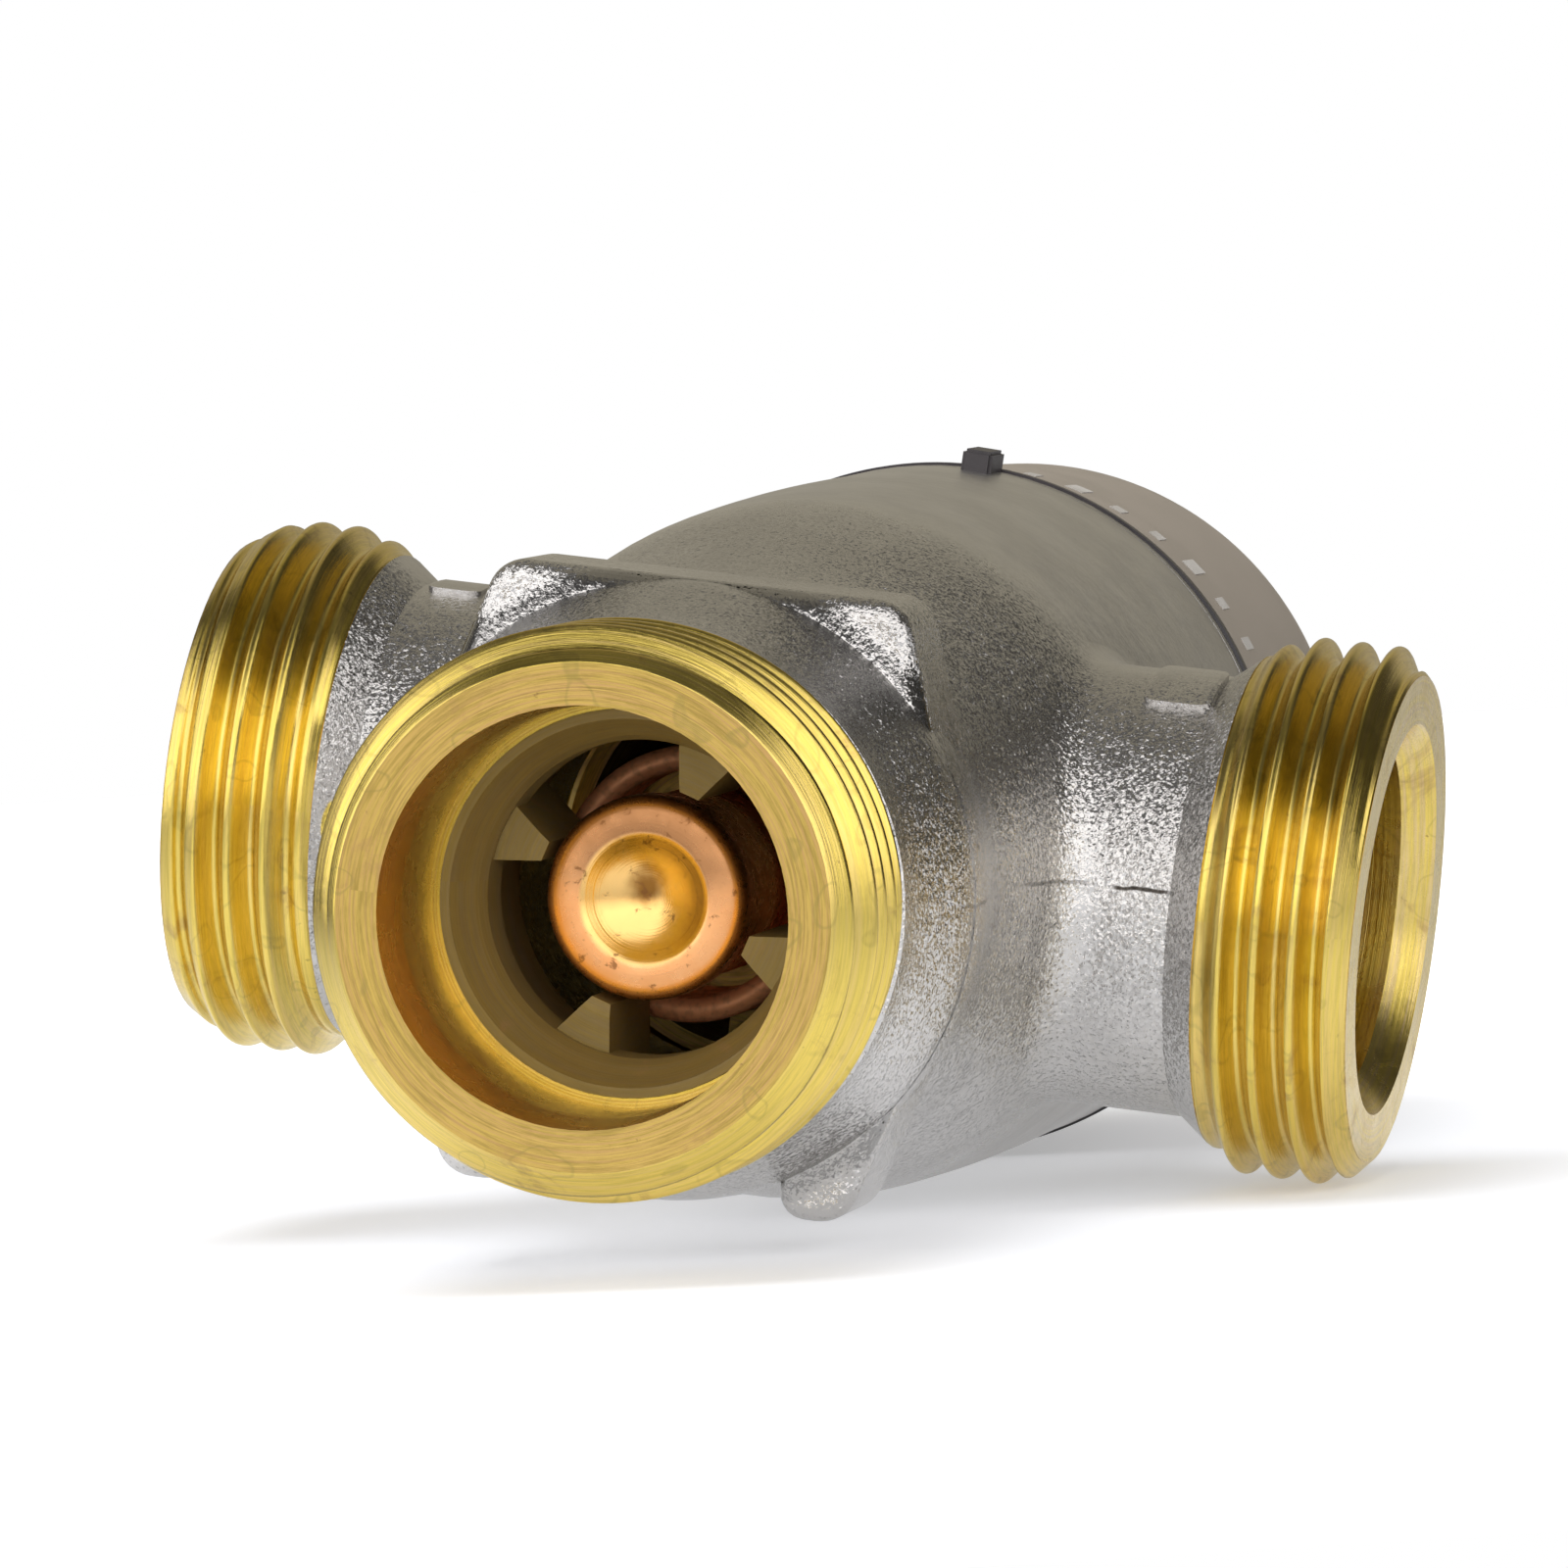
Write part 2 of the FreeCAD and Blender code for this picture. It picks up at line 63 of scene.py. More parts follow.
# ---- helpers ------------------------------------------------------------------------------------
class Tree:
    """Short-hand for building one node tree."""

    def __init__(self, owner):
        owner.use_nodes = True
        self.nodes = owner.node_tree.nodes
        self.links = owner.node_tree.links
        self.nodes.clear()

    def node(self, kind, **settings):
        made = self.nodes.new(kind)
        for key, value in settings.items():
            setattr(made, key, value)
        return made

    def put(self, socket, value):
        """Link value into socket when it is an output, otherwise set it as the socket's value."""
        if isinstance(value, bpy.types.NodeSocket):
            self.links.new(value, socket)
        else:
            socket.default_value = value

    def math(self, operation, a, b=0.0, c=0.0):
        made = self.node("ShaderNodeMath", operation=operation)
        for socket, value in zip(made.inputs, (a, b, c)):
            self.put(socket, value)
        return made.outputs[0]

    def plus(self, a, b):
        return self.math("ADD", a, b)

    def minus(self, a, b):
        return self.math("SUBTRACT", a, b)

    def times(self, a, b):
        return self.math("MULTIPLY", a, b)

    def gap(self, a, b):
        """Distance between two numbers."""
        return self.math("ABSOLUTE", self.minus(a, b))

    def squares(self, a, b):
        return self.plus(self.times(a, a), self.times(b, b))

    def hypot(self, a, b):
        return self.math("SQRT", self.squares(a, b))

    def vector(self, operation, a, b=None):
        """Vector math; a number as the second value is the scale."""
        made = self.node("ShaderNodeVectorMath", operation=operation)
        self.put(made.inputs[0], a)
        if b is not None:
            self.put(made.inputs["Scale" if operation == "SCALE" else 1], b)
        return made.outputs["Value" if operation in ("DOT_PRODUCT", "LENGTH") else "Vector"]

    def parts(self, vector):
        """X, Y and Z of a vector."""
        made = self.node("ShaderNodeSeparateXYZ")
        self.put(made.inputs[0], vector)
        return tuple(made.outputs)

    def combine(self, x, y, z):
        made = self.node("ShaderNodeCombineXYZ")
        for socket, value in zip(made.inputs, (x, y, z)):
            self.put(socket, value)
        return made.outputs[0]

    def noise(self, vector, size, detail=3.0, roughness=0.55, distortion=0.0):
        """Noise whose features are about size metres across."""
        made = self.node("ShaderNodeTexNoise")
        self.put(made.inputs["Vector"], vector)
        made.inputs["Scale"].default_value = 1.0 / size
        made.inputs["Detail"].default_value = detail
        made.inputs["Roughness"].default_value = roughness
        made.inputs["Distortion"].default_value = distortion
        return made.outputs["Fac"]

    def ramp(self, value, stops):
        """Ramp of greys; each stop is (position, grey)."""
        made = self.node("ShaderNodeValToRGB")
        elements = made.color_ramp.elements
        while len(elements) < len(stops):
            elements.new(0.5)
        for element, (position, grey) in zip(elements, stops):
            element.position = position
            element.color = (grey, grey, grey, 1)
        self.put(made.inputs[0], value)
        return made.outputs["Color"]

    def span(self, value, low, high, to_low=0.0, to_high=1.0):
        """Map value from low..high to to_low..to_high, clamped and eased."""
        made = self.node("ShaderNodeMapRange", interpolation_type="SMOOTHSTEP")
        self.put(made.inputs["Value"], value)
        for key, number in (("From Min", low), ("From Max", high), ("To Min", to_low), ("To Max", to_high)):
            made.inputs[key].default_value = number
        return made.outputs["Result"]

    def mix(self, factor, a, b, blend="MIX"):
        made = self.node("ShaderNodeMix", data_type="RGBA", blend_type=blend)
        self.put(made.inputs[0], factor)
        self.put(made.inputs[6], a)
        self.put(made.inputs[7], b)
        return made.outputs[2]

    def bump(self, height, distance, strength=1.0, normal=None):
        made = self.node("ShaderNodeBump")
        self.put(made.inputs["Height"], height)
        made.inputs["Distance"].default_value = distance
        self.put(made.inputs["Strength"], strength)
        if normal is not None:
            self.put(made.inputs["Normal"], normal)
        return made.outputs[0]


def rgb(red, green, blue):
    return (red, green, blue, 1.0)


def darker(colour, share):
    return tuple(share * value for value in colour[:3]) + (1.0,)


def material(name, build):
    """New material with one Principled shader; build(tree, shader, position) wires it."""
    made = bpy.data.materials.new(name)
    tree = Tree(made)
    out = tree.node("ShaderNodeOutputMaterial")
    shader = tree.node("ShaderNodeBsdfPrincipled")
    tree.links.new(shader.outputs[0], out.inputs[0])
    position = tree.node("ShaderNodeTexCoord").outputs["Object"]
    build(tree, shader, position)
    return made


def set_finish(tree, shader, colour, metallic, rough, normal):
    """Wire the four values that make a finish into the shader."""
    tree.put(shader.inputs["Base Color"], colour)
    shader.inputs["Metallic"].default_value = metallic
    tree.put(shader.inputs["Roughness"], rough)
    tree.put(shader.inputs["Normal"], normal)


def about_axis(tree, position, axis):
    """(along, radius, angle) of a point about the Y or X axis, in metres and radians."""
    x, y, z = tree.parts(position)
    along, side = (y, x) if axis == "Y" else (x, y)
    return along, tree.hypot(side, z), tree.math("ARCTAN2", z, side)


def add_object(name, data):
    """New object in the scene."""
    made = bpy.data.objects.new(name, data)
    bpy.context.scene.collection.objects.link(made)
    return made


def polar(radius, angle):
    return radius * math.cos(angle), radius * math.sin(angle)


def round_angles(count):
    """Angles that divide a turn into count steps."""
    return [2 * math.pi * k / count for k in range(count)]


def shade_smooth(mesh):
    mesh.polygons.foreach_set("use_smooth", [True] * len(mesh.polygons))


# ---- materials ----------------------------------------------------------------------------------
BRASS = rgb(0.80, 0.61, 0.135)
PALE_BRASS = rgb(0.74, 0.56, 0.26)
ORANGE_BRASS = rgb(0.78, 0.58, 0.18)
DULL_BRASS = rgb(0.32, 0.225, 0.06)
TURNING = 0.16 * MM                 # width of the turning rings

# where the casting's finish changes, in the part's own frame
GRAIN_END, SATIN_START = -9 * MM, 4 * MM
GROOVE_Y = 34.5 * MM                # fine groove in front of the seam
FILLET_START, FILLET_END = 18.0 * MM, 20.3 * MM     # radii of the fillet drawn between collar and plate
FILLET_Y = (-33.7 * MM, -34.2 * MM)                 # Y over which it fades in, at the plate's front
PARTING_Z = 1.05 * MM               # height of the mould's parting line on the right neck
STRONG_STROKE = ((21.9 * MM, 22.5 * MM), (25.2 * MM, 26.2 * MM))    # X where it fades in and out
FAINT_STROKE = ((17.4 * MM, 18.4 * MM), (20.4 * MM, 21.2 * MM))
RUBBED_X, RUBBED_Z = -26.6 * MM, -0.8 * MM          # middle of the spot rubbed through to the brass
RUBBED_WIDE, RUBBED_HIGH = 0.55 * MM, 1.7 * MM


def parting_line(tree, x, y, z, coarse):
    """Strength of the parting line, which shows in two strokes."""
    def stroke(fade_in, fade_out, strength):
        return tree.times(tree.span(x, *fade_in), tree.span(x, *fade_out, strength, 0.0))

    wander = tree.math("MULTIPLY_ADD", coarse, 0.5 * MM, PARTING_Z)
    line = tree.span(tree.gap(z, wander), 0.06 * MM, 0.18 * MM, 1.0, 0.0)
    line = tree.times(line, tree.plus(stroke(*STRONG_STROKE, 1.0), stroke(*FAINT_STROKE, 0.5)))
    return tree.times(line, tree.span(y, -2 * MM, -4 * MM))


def rubbed_spot(tree, x, y, z, coarse):
    """Strength of the ragged spot on the left neck where the plating is rubbed through."""
    across = tree.math("DIVIDE", tree.minus(x, RUBBED_X), RUBBED_WIDE)
    over = tree.math("DIVIDE", tree.minus(z, RUBBED_Z), RUBBED_HIGH)
    reach = tree.plus(tree.squares(across, over), tree.times(coarse, 0.9))
    return tree.times(tree.span(reach, 1.25, 1.55, 1.0, 0.0), tree.span(y, -8 * MM, -10 * MM))


def crystals(tree, position, satin):
    """Normal of a surface of small flat crystals, each leaning its own way."""
    cells = tree.node("ShaderNodeTexVoronoi")
    tree.put(cells.inputs["Vector"], position)
    cells.inputs["Scale"].default_value = 1 / (0.16 * MM)
    lean = tree.vector("SUBTRACT", cells.outputs["Color"], (0.5, 0.5, 0.5))
    tilt = tree.vector("SCALE", lean, tree.span(satin, 0.0, 1.0, 0.48, 0.05))
    facet = tree.vector("ADD", tree.node("ShaderNodeNewGeometry").outputs["Normal"], tilt)
    return tree.vector("NORMALIZE", facet)


def plated_casting(tree, shader, position):
    """Nickel plating over cast brass: crystals that sparkle where they mirror the dark, satin on the bulb."""
    x, y, z = tree.parts(position)
    satin = tree.span(y, GRAIN_END, SATIN_START)
    rough_end = tree.span(satin, 0.0, 1.0, 1.0, 0.1)
    grain = tree.noise(position, 0.3 * MM, detail=2.5, roughness=0.6)
    coarse = tree.noise(position, 1.6 * MM, detail=3)
    cloud = tree.noise(position, 7 * MM, detail=4)
    pores = tree.times(tree.span(tree.noise(position, 0.5 * MM, detail=4), 0.69, 0.75), 0.7)
    pores = tree.times(pores, tree.span(satin, 0.0, 1.0, 1.0, 0.3))

    colour = tree.mix(tree.span(cloud, 0.35, 0.7), rgb(0.60, 0.585, 0.565), rgb(0.67, 0.655, 0.635))
    colour = tree.mix(pores, colour, rgb(0.16, 0.15, 0.13))
    colour = tree.mix(parting_line(tree, x, y, z, coarse), colour, rgb(0.08, 0.07, 0.06))
    colour = tree.mix(rubbed_spot(tree, x, y, z, coarse), colour, BRASS)
    rough = tree.plus(tree.span(coarse, 0.3, 0.7, 0.19, 0.25), tree.times(satin, 0.15))

    groove = tree.span(tree.gap(y, GROOVE_Y), 0.08 * MM, 0.25 * MM)
    relief = tree.bump(groove, 0.16 * MM, 0.8, crystals(tree, position, satin))
    fillet = tree.span(tree.hypot(x, z), FILLET_START, FILLET_END, 1.0, 0.0)
    fillet = tree.times(tree.times(fillet, fillet), tree.span(y, *FILLET_Y))
    relief = tree.bump(fillet, 1.2 * MM, 1.0, relief)
    relief = tree.bump(grain, 0.12 * MM, rough_end, relief)
    set_finish(tree, shader, colour, 1.0, rough, tree.bump(coarse, 0.14 * MM, 0.5, relief))


def machined(axis, base, warm, rough, ring=TURNING, metallic=1.0, streaks=0.25):
    """Turned metal: rings and streaks about the axis, dried drops, stains and brown specks."""
    def build(tree, shader, position):
        along, radius, angle = about_axis(tree, position, axis)
        rings = tree.noise(tree.combine(radius, along, 0.0), ring, detail=4, roughness=0.7)
        arcs = tree.noise(tree.combine(tree.times(radius, 12.0), along, tree.times(angle, 1.4 * MM)),
                          1.6 * MM, detail=4)
        streak = tree.noise(tree.combine(tree.times(radius, 5.0), tree.times(along, 5.0),
                                         tree.times(angle, 3.0 * MM)), 0.9 * MM, detail=5, roughness=0.75)
        stain = tree.noise(position, 3.4 * MM, detail=6, roughness=0.65, distortion=0.6)
        drop = tree.noise(position, 2.6 * MM, detail=0.5)
        speck = tree.noise(position, 0.7 * MM, detail=5, roughness=0.6)

        colour = tree.mix(tree.span(arcs, 0.38, 0.66), base, warm)
        colour = tree.mix(tree.times(tree.span(streak, 0.42, 0.66), streaks * 2), colour, darker(base, 0.62))
        drop_edge = tree.span(tree.gap(drop, 0.64), 0.004, 0.03, streaks * 0.9, 0.0)
        colour = tree.mix(drop_edge, colour, rgb(0.30, 0.24, 0.07))
        colour = tree.mix(tree.span(stain, 0.58, 0.72, 0.0, 0.5), colour, rgb(0.40, 0.24, 0.10))
        colour = tree.mix(tree.span(speck, 0.67, 0.77, 0.0, 0.6), colour, rgb(0.20, 0.12, 0.05))
        relief = tree.bump(streak, 0.008 * MM, 0.6, tree.bump(rings, 0.03 * MM, 0.8))
        set_finish(tree, shader, colour, metallic, tree.span(stain, 0.3, 0.75, rough, rough + 0.14), relief)
    return build


def copper(tree, shader, position):
    """Polished dish and satin rim of the element's cup, with brown spots, a dark patch above the dish's
    middle and painted shade over the rim's upper part.
    """
    along, radius, _ = about_axis(tree, position, "Y")
    x, _, z = tree.parts(position)
    rings = tree.noise(tree.combine(radius, along, 0.0), 0.12 * MM, detail=3)
    spot = tree.noise(position, 0.9 * MM, detail=5, roughness=0.65, distortion=0.4)
    cloud = tree.noise(position, 4 * MM, detail=4)
    uneven = tree.minus(cloud, 0.5)
    dish = tree.span(radius, 3.7 * MM, 4.0 * MM, 1.0, 0.0)
    # dark brown patch just above the dish's middle
    from_dark_patch = tree.hypot(tree.plus(x, 0.1 * MM), tree.minus(z, 0.55 * MM))
    dark_patch = tree.span(tree.plus(from_dark_patch, tree.times(uneven, 3 * MM)), 0.3 * MM, 1.55 * MM, 0.95, 0.0)
    # painted shade: the rim turns darker brown towards its top, with a ragged edge
    painted_shade_top = tree.span(tree.plus(z, tree.times(uneven, 8 * MM)), -1.5 * MM, 4.5 * MM, 0.0, 0.85)

    rim = tree.mix(tree.span(cloud, 0.35, 0.65), rgb(0.88, 0.41, 0.16), rgb(0.94, 0.48, 0.21))
    colour = tree.mix(dish, rim, rgb(0.93, 0.58, 0.20))
    colour = tree.mix(dark_patch, colour, rgb(0.26, 0.11, 0.02))
    colour = tree.mix(tree.times(painted_shade_top, tree.minus(1.0, dish)), colour, rgb(0.36, 0.17, 0.07))
    colour = tree.mix(tree.span(spot, 0.59, 0.68, 0.0, 0.75), colour, rgb(0.22, 0.09, 0.03))
    rough = tree.plus(tree.span(spot, 0.3, 0.7, 0.24, 0.36), tree.times(dish, -0.13))
    set_finish(tree, shader, colour, 1.0, rough, tree.bump(rings, 0.01 * MM, 0.6))


def wire(base, rough, metallic=1.0):
    """Drawn wire with worn patches."""
    def build(tree, shader, position):
        mark = tree.noise(position, 0.5 * MM, detail=5)
        colour = tree.mix(tree.span(mark, 0.45, 0.7), base, darker(base, 0.75))
        rougher = tree.span(mark, 0.3, 0.7, rough, rough + 0.15)
        set_finish(tree, shader, colour, metallic, rougher, tree.bump(mark, 0.01 * MM, 0.5))
    return build


def plastic(base, other, rough, grain=0.3 * MM):
    """Moulded plastic with a faint cloud and a fine spark-eroded texture."""
    def build(tree, shader, position):
        cloud = tree.noise(position, 7 * MM, detail=4)
        fine = tree.noise(position, grain, detail=3)
        colour = tree.mix(tree.span(cloud, 0.35, 0.65), base, other)
        rougher = tree.span(cloud, 0.3, 0.7, rough, rough + 0.08)
        set_finish(tree, shader, colour, 0.0, rougher, tree.bump(fine, 0.02 * MM, 0.35))
    return build


builders = {
    "casting": plated_casting,
    "face_brass": machined("Y", rgb(0.57, 0.40, 0.10), rgb(0.53, 0.33, 0.125), 0.3, streaks=0.45),
    "inner_brass": machined("Y", rgb(0.66, 0.48, 0.085), rgb(0.62, 0.43, 0.12), 0.2),
    "side_brass": machined("X", BRASS, PALE_BRASS, 0.2),
    "thread_y": machined("Y", BRASS, ORANGE_BRASS, 0.13),
    "thread_x": machined("X", BRASS, ORANGE_BRASS, 0.13),
    "insert_brass": machined("Y", DULL_BRASS, rgb(0.30, 0.22, 0.085), 0.55, ring=0.2 * MM, metallic=0.3,
                             streaks=0.15),
    "copper": copper,
    "spring_wire": wire(rgb(0.95, 0.43, 0.20), 0.42, metallic=0.4),
    "steel": wire(rgb(0.62, 0.61, 0.6), 0.25),
    "rubber": plastic(rgb(0.015, 0.015, 0.015), rgb(0.03, 0.03, 0.03), 0.5),
    "white_plastic": plastic(rgb(0.8, 0.8, 0.76), rgb(0.7, 0.7, 0.66), 0.4),
    "black_plastic": plastic(rgb(0.02, 0.018, 0.02), rgb(0.035, 0.03, 0.032), 0.38, grain=0.25 * MM),
    "mark_paint": plastic(rgb(0.5, 0.48, 0.45), rgb(0.38, 0.36, 0.33), 0.45),
    "cap_plastic": plastic(rgb(0.25, 0.215, 0.18), rgb(0.29, 0.25, 0.21), 0.36),
}
finishes = {name: material(name, build) for name, build in builders.items()}

nodes_of_finish = {
    "insert_brass": ["outlet_guide"],
    "face_brass": ["element_collar", "element_guide", "shuttle", "rear_seat", "bonnet", "carriage",
                   "spindle"],
    "copper": ["element_cup"],
    "spring_wire": ["return_spring"],
    "steel": ["piston_pin", "carriage_clip", "overload_cup", "overload_spring", "spindle_clip", "cap_screw"],
    "rubber": ["shuttle_o_ring", "bonnet_o_ring", "spindle_o_ring"],
    "white_plastic": ["thrust_washer"],
    "black_plastic": ["index_ring"],
    "cap_plastic": ["cap"],
}
for name, nodes in nodes_of_finish.items():
    for node in nodes:
        NODES[node].data.materials.clear()
        NODES[node].data.materials.append(finishes[name])

# faces of the casting, in millimetres from its axes
SIDE_THREAD_START = 27.65           # |X| beyond which a side spigot is bare
OUTLET_THREAD_END = -44.0           # Y before which the outlet's spigot is bare
SIDE_BORE_START, SIDE_BORE_R = 18.5, 12.5
MIXING_BORE_R = 12.15
CHAMBER_START, CHAMBER_R = -14.5, 17.2
BONNET_START, BONNET_R = 31, 19.45
CASTING_SLOTS = ("casting", "face_brass", "inner_brass", "side_brass")


def slot_of_face(centre):
    """Slot of a face of the casting: plated, outlet's outside, bores about Y, or machined about X."""
    x, y = abs(centre.x) / MM, centre.y / MM
    from_y = math.hypot(centre.x, centre.z) / MM
    from_x = math.hypot(centre.y, centre.z) / MM
    in_side_bore = x > SIDE_BORE_START and from_x < SIDE_BORE_R
    in_chamber = y > CHAMBER_START and from_y < CHAMBER_R
    in_bonnet_seat = y > BONNET_START and from_y < BONNET_R
    if x > SIDE_THREAD_START or in_side_bore:
        return CASTING_SLOTS.index("side_brass")
    if from_y < MIXING_BORE_R or in_chamber or in_bonnet_seat:
        return CASTING_SLOTS.index("inner_brass")
    return CASTING_SLOTS.index("face_brass" if y < OUTLET_THREAD_END else "casting")


body = NODES["valve_body"]
body.data.materials.clear()
for name in CASTING_SLOTS:
    body.data.materials.append(finishes[name])
for polygon in body.data.polygons:
    polygon.material_index = slot_of_face(polygon.center)


# ---- threads ------------------------------------------------------------------------------------
# The solids have plain ridges. Here the casting gets a plain core under each thread, and a sleeve with
# the real right-hand helix over it.
THREAD_PITCH = 25.4 / 11 * MM
CREST_R = 33.249 / 2 * MM
ROOT_R = 30.291 / 2 * MM
ROUNDING = 0.1373 * THREAD_PITCH    # radius of the rounded crests and roots
FLANK = math.radians(27.5)
PER_TURN = 160                      # steps in one turn of the helix

CORE_R = 14.2 * MM
RIDGE_R = 14.6 * MM                 # what lies further out on a spigot belongs to the ridges
OUTLET_RIDGES = (-54.35 * MM, -44.2 * MM)           # Y
SIDE_RIDGES = (27.75 * MM, 37.2 * MM)               # |X|

# A port's thread: "axis"; "inward", the sign of the way from its face into the body; "face", where that
# face lies; "crest" and "crest_angle", a point that one crest passes through; "rim", radius of the face;
# "lead", how fast the lead-in chamfer widens with depth; "fade", depths over which the thread runs out;
# "bore", inner radius of the sleeve; "tail", (depth, radius) marks that end the line of the root.
OUTLET = {"axis": "Y", "inward": 1, "face": -54.4 * MM, "crest": -49.73 * MM, "crest_angle": 0.0,
          "rim": 14.56 * MM, "lead": 0.943, "fade": (9.5 * MM, 10.3 * MM), "bore": 13.5 * MM,
          "tail": ((10.2 * MM, ROOT_R), (10.33 * MM, 14.9 * MM))}
RIGHT = {"axis": "X", "inward": -1, "face": 37.25 * MM, "crest": 33.30 * MM, "crest_angle": math.pi / 2,
         "rim": 15.0 * MM, "lead": 1.105, "fade": (7.2 * MM, 9.9 * MM), "bore": 12.9 * MM,
         "tail": ((9.48 * MM, ROOT_R), (9.62 * MM, 14.9 * MM))}
LEFT = dict(RIGHT, inward=1, face=-37.25 * MM, crest=-30.9 * MM, lead=0.6)


def profile(offset):
    """Radius of the rounded 55 degree profile at an axial offset from the crest."""
    middle = (CREST_R + ROOT_R) / 2
    bend = ROUNDING * math.cos(FLANK)
    offset = abs(offset)
    if offset < bend:
        return CREST_R - ROUNDING + math.sqrt(ROUNDING ** 2 - offset ** 2)
    rest = THREAD_PITCH / 2 - offset
    if rest < bend:
        return ROOT_R + ROUNDING - math.sqrt(ROUNDING ** 2 - rest ** 2)
    return middle - (offset - THREAD_PITCH / 4) / math.tan(FLANK)


def profile_offsets(bend_steps=3, flank_steps=4):
    """Offsets over one pitch at which the profile is sampled, from root to just before the next root."""
    half = THREAD_PITCH / 2
    bend = ROUNDING * math.cos(FLANK)
    flank = half - 2 * bend
    side = [bend * k / bend_steps for k in range(1, bend_steps + 1)]
    side += [bend + flank * k / flank_steps for k in range(1, flank_steps)]
    side += [half - bend * k / bend_steps for k in range(bend_steps, 0, -1)]
    return [-half] + [-u for u in reversed(side)] + [0.0] + side


def along_tail(depth, tail):
    """Radius of the root's line at this depth: level, then down to the sleeve's end."""
    previous = (0.0, ROOT_R)
    for mark, radius in tail:
        if depth <= mark:
            share = (depth - previous[0]) / (mark - previous[0])
            return previous[1] + (radius - previous[1]) * share
        previous = (mark, radius)
    return previous[1]


def eased(value, low, high):
    share = min(1.0, max(0.0, (value - low) / (high - low)))
    return share * share * (3 - 2 * share)


def weld(mesh, distance=1e-7):
    """Merge doubled points, drop loose ones and turn all faces outwards."""
    tidy = bmesh.new()
    tidy.from_mesh(mesh)
    bmesh.ops.remove_doubles(tidy, verts=tidy.verts, dist=distance)
    bmesh.ops.dissolve_degenerate(tidy, edges=tidy.edges, dist=distance)
    loose = [vert for vert in tidy.verts if not vert.link_faces]
    bmesh.ops.delete(tidy, geom=loose, context="VERTS")
    bmesh.ops.recalc_face_normals(tidy, faces=tidy.faces)
    tidy.to_mesh(mesh)
    tidy.free()


def helix_faces(turns, count):
    """Faces of a strip of count points wound about the axis, each turn sewn to the next."""
    faces = []
    for step in range((turns - 1) * PER_TURN):
        for k in range(count):
            here, beyond = step * count + k, (step + 1) * count + k
            if k + 1 < count:
                faces.append((here, beyond, beyond + 1, here + 1))
            else:
                lap = (step + PER_TURN) * count
                faces.append((here, beyond, lap + count, lap))
    return faces


def thread_sleeve(name, port):
    """Closed sleeve whose outside is the helical thread with its lead-in chamfer and run-out."""
    first = 0.02 * MM               # depth at which the sleeve starts, just behind the face
    last, last_radius = port["tail"][-1]
    offsets = profile_offsets()
    # the helix starts a whole number of turns before the crest and below the sleeve's lower end
    lowest_place = min(port["face"], port["face"] + port["inward"] * last) - THREAD_PITCH
    start = port["crest"] - THREAD_PITCH * port["crest_angle"] / (2 * math.pi)
    start -= THREAD_PITCH * math.ceil((start - lowest_place) / THREAD_PITCH)
    turns = math.ceil(last / THREAD_PITCH) + 3

    def place(angle, along, radius):
        across, up = polar(radius, angle)
        return (along, across, up) if port["axis"] == "X" else (up, along, across)

    def outside(turn_step, offset):
        angle = 2 * math.pi * turn_step / PER_TURN
        along = start + THREAD_PITCH * turn_step / PER_TURN + offset
        depth = min(last, max(first, port["inward"] * (along - port["face"])))
        height = (profile(offset) - ROOT_R) * (1 - eased(depth, *port["fade"]))
        radius = min(along_tail(depth, port["tail"]) + height, port["rim"] + depth * port["lead"])
        if depth in (first, last):
            radius = port["rim"] if depth == first else last_radius
        return place(angle, port["face"] + port["inward"] * depth, radius)

    points = [outside(step, offset) for step in range(turns * PER_TURN + 1) for offset in offsets]
    faces = helix_faces(turns, len(offsets))
    circles = []
    for depth, radius in ((first, port["rim"]), (last, last_radius)):
        along = port["face"] + port["inward"] * depth
        for reach in (radius, port["bore"]):
            circles.append(len(points))
            points += [place(angle, along, reach) for angle in round_angles(PER_TURN)]
    outer_a, inner_a, outer_b, inner_b = circles
    for near, far in ((outer_a, inner_a), (inner_a, inner_b), (inner_b, outer_b)):
        for k in range(PER_TURN):
            after = (k + 1) % PER_TURN
            faces.append((near + k, near + after, far + after, far + k))
    mesh = bpy.data.meshes.new(name)
    mesh.from_pydata(points, [], faces)
    weld(mesh)
    shade_smooth(mesh)
    return add_object(name, mesh)


def casting_with_cores():
    """Copy of the casting whose thread ridges are taken down to plain cores."""
    mesh = body.data.copy()
    for vertex in mesh.vertices:
        x, y, z = vertex.co
        from_y, from_x = math.hypot(x, z), math.hypot(y, z)
        if OUTLET_RIDGES[0] < y < OUTLET_RIDGES[1] and from_y > RIDGE_R:
            factor = CORE_R / from_y
            vertex.co = (x * factor, y, z * factor)
        elif SIDE_RIDGES[0] < abs(x) < SIDE_RIDGES[1] and from_x > RIDGE_R:
            factor = CORE_R / from_x
            vertex.co = (x, y * factor, z * factor)
    return add_object("casting", mesh)


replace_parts(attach(casting_with_cores(), "valve"), "valve_body")
for name, port, brass in (("outlet_thread", OUTLET, "thread_y"), ("right_thread", RIGHT, "thread_x"),
                          ("left_thread", LEFT, "thread_x")):
    sleeve = thread_sleeve(name, port)
    sleeve.data.materials.append(finishes[brass])
    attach(sleeve, "valve")


# ---- springs ------------------------------------------------------------------------------------
# Y of the return spring's front end, of the cut between its two lengths, and of its rear end
RETURN_FIRST, RETURN_CUT, RETURN_LAST = -30.8 * MM, -26.3 * MM, -20.25 * MM


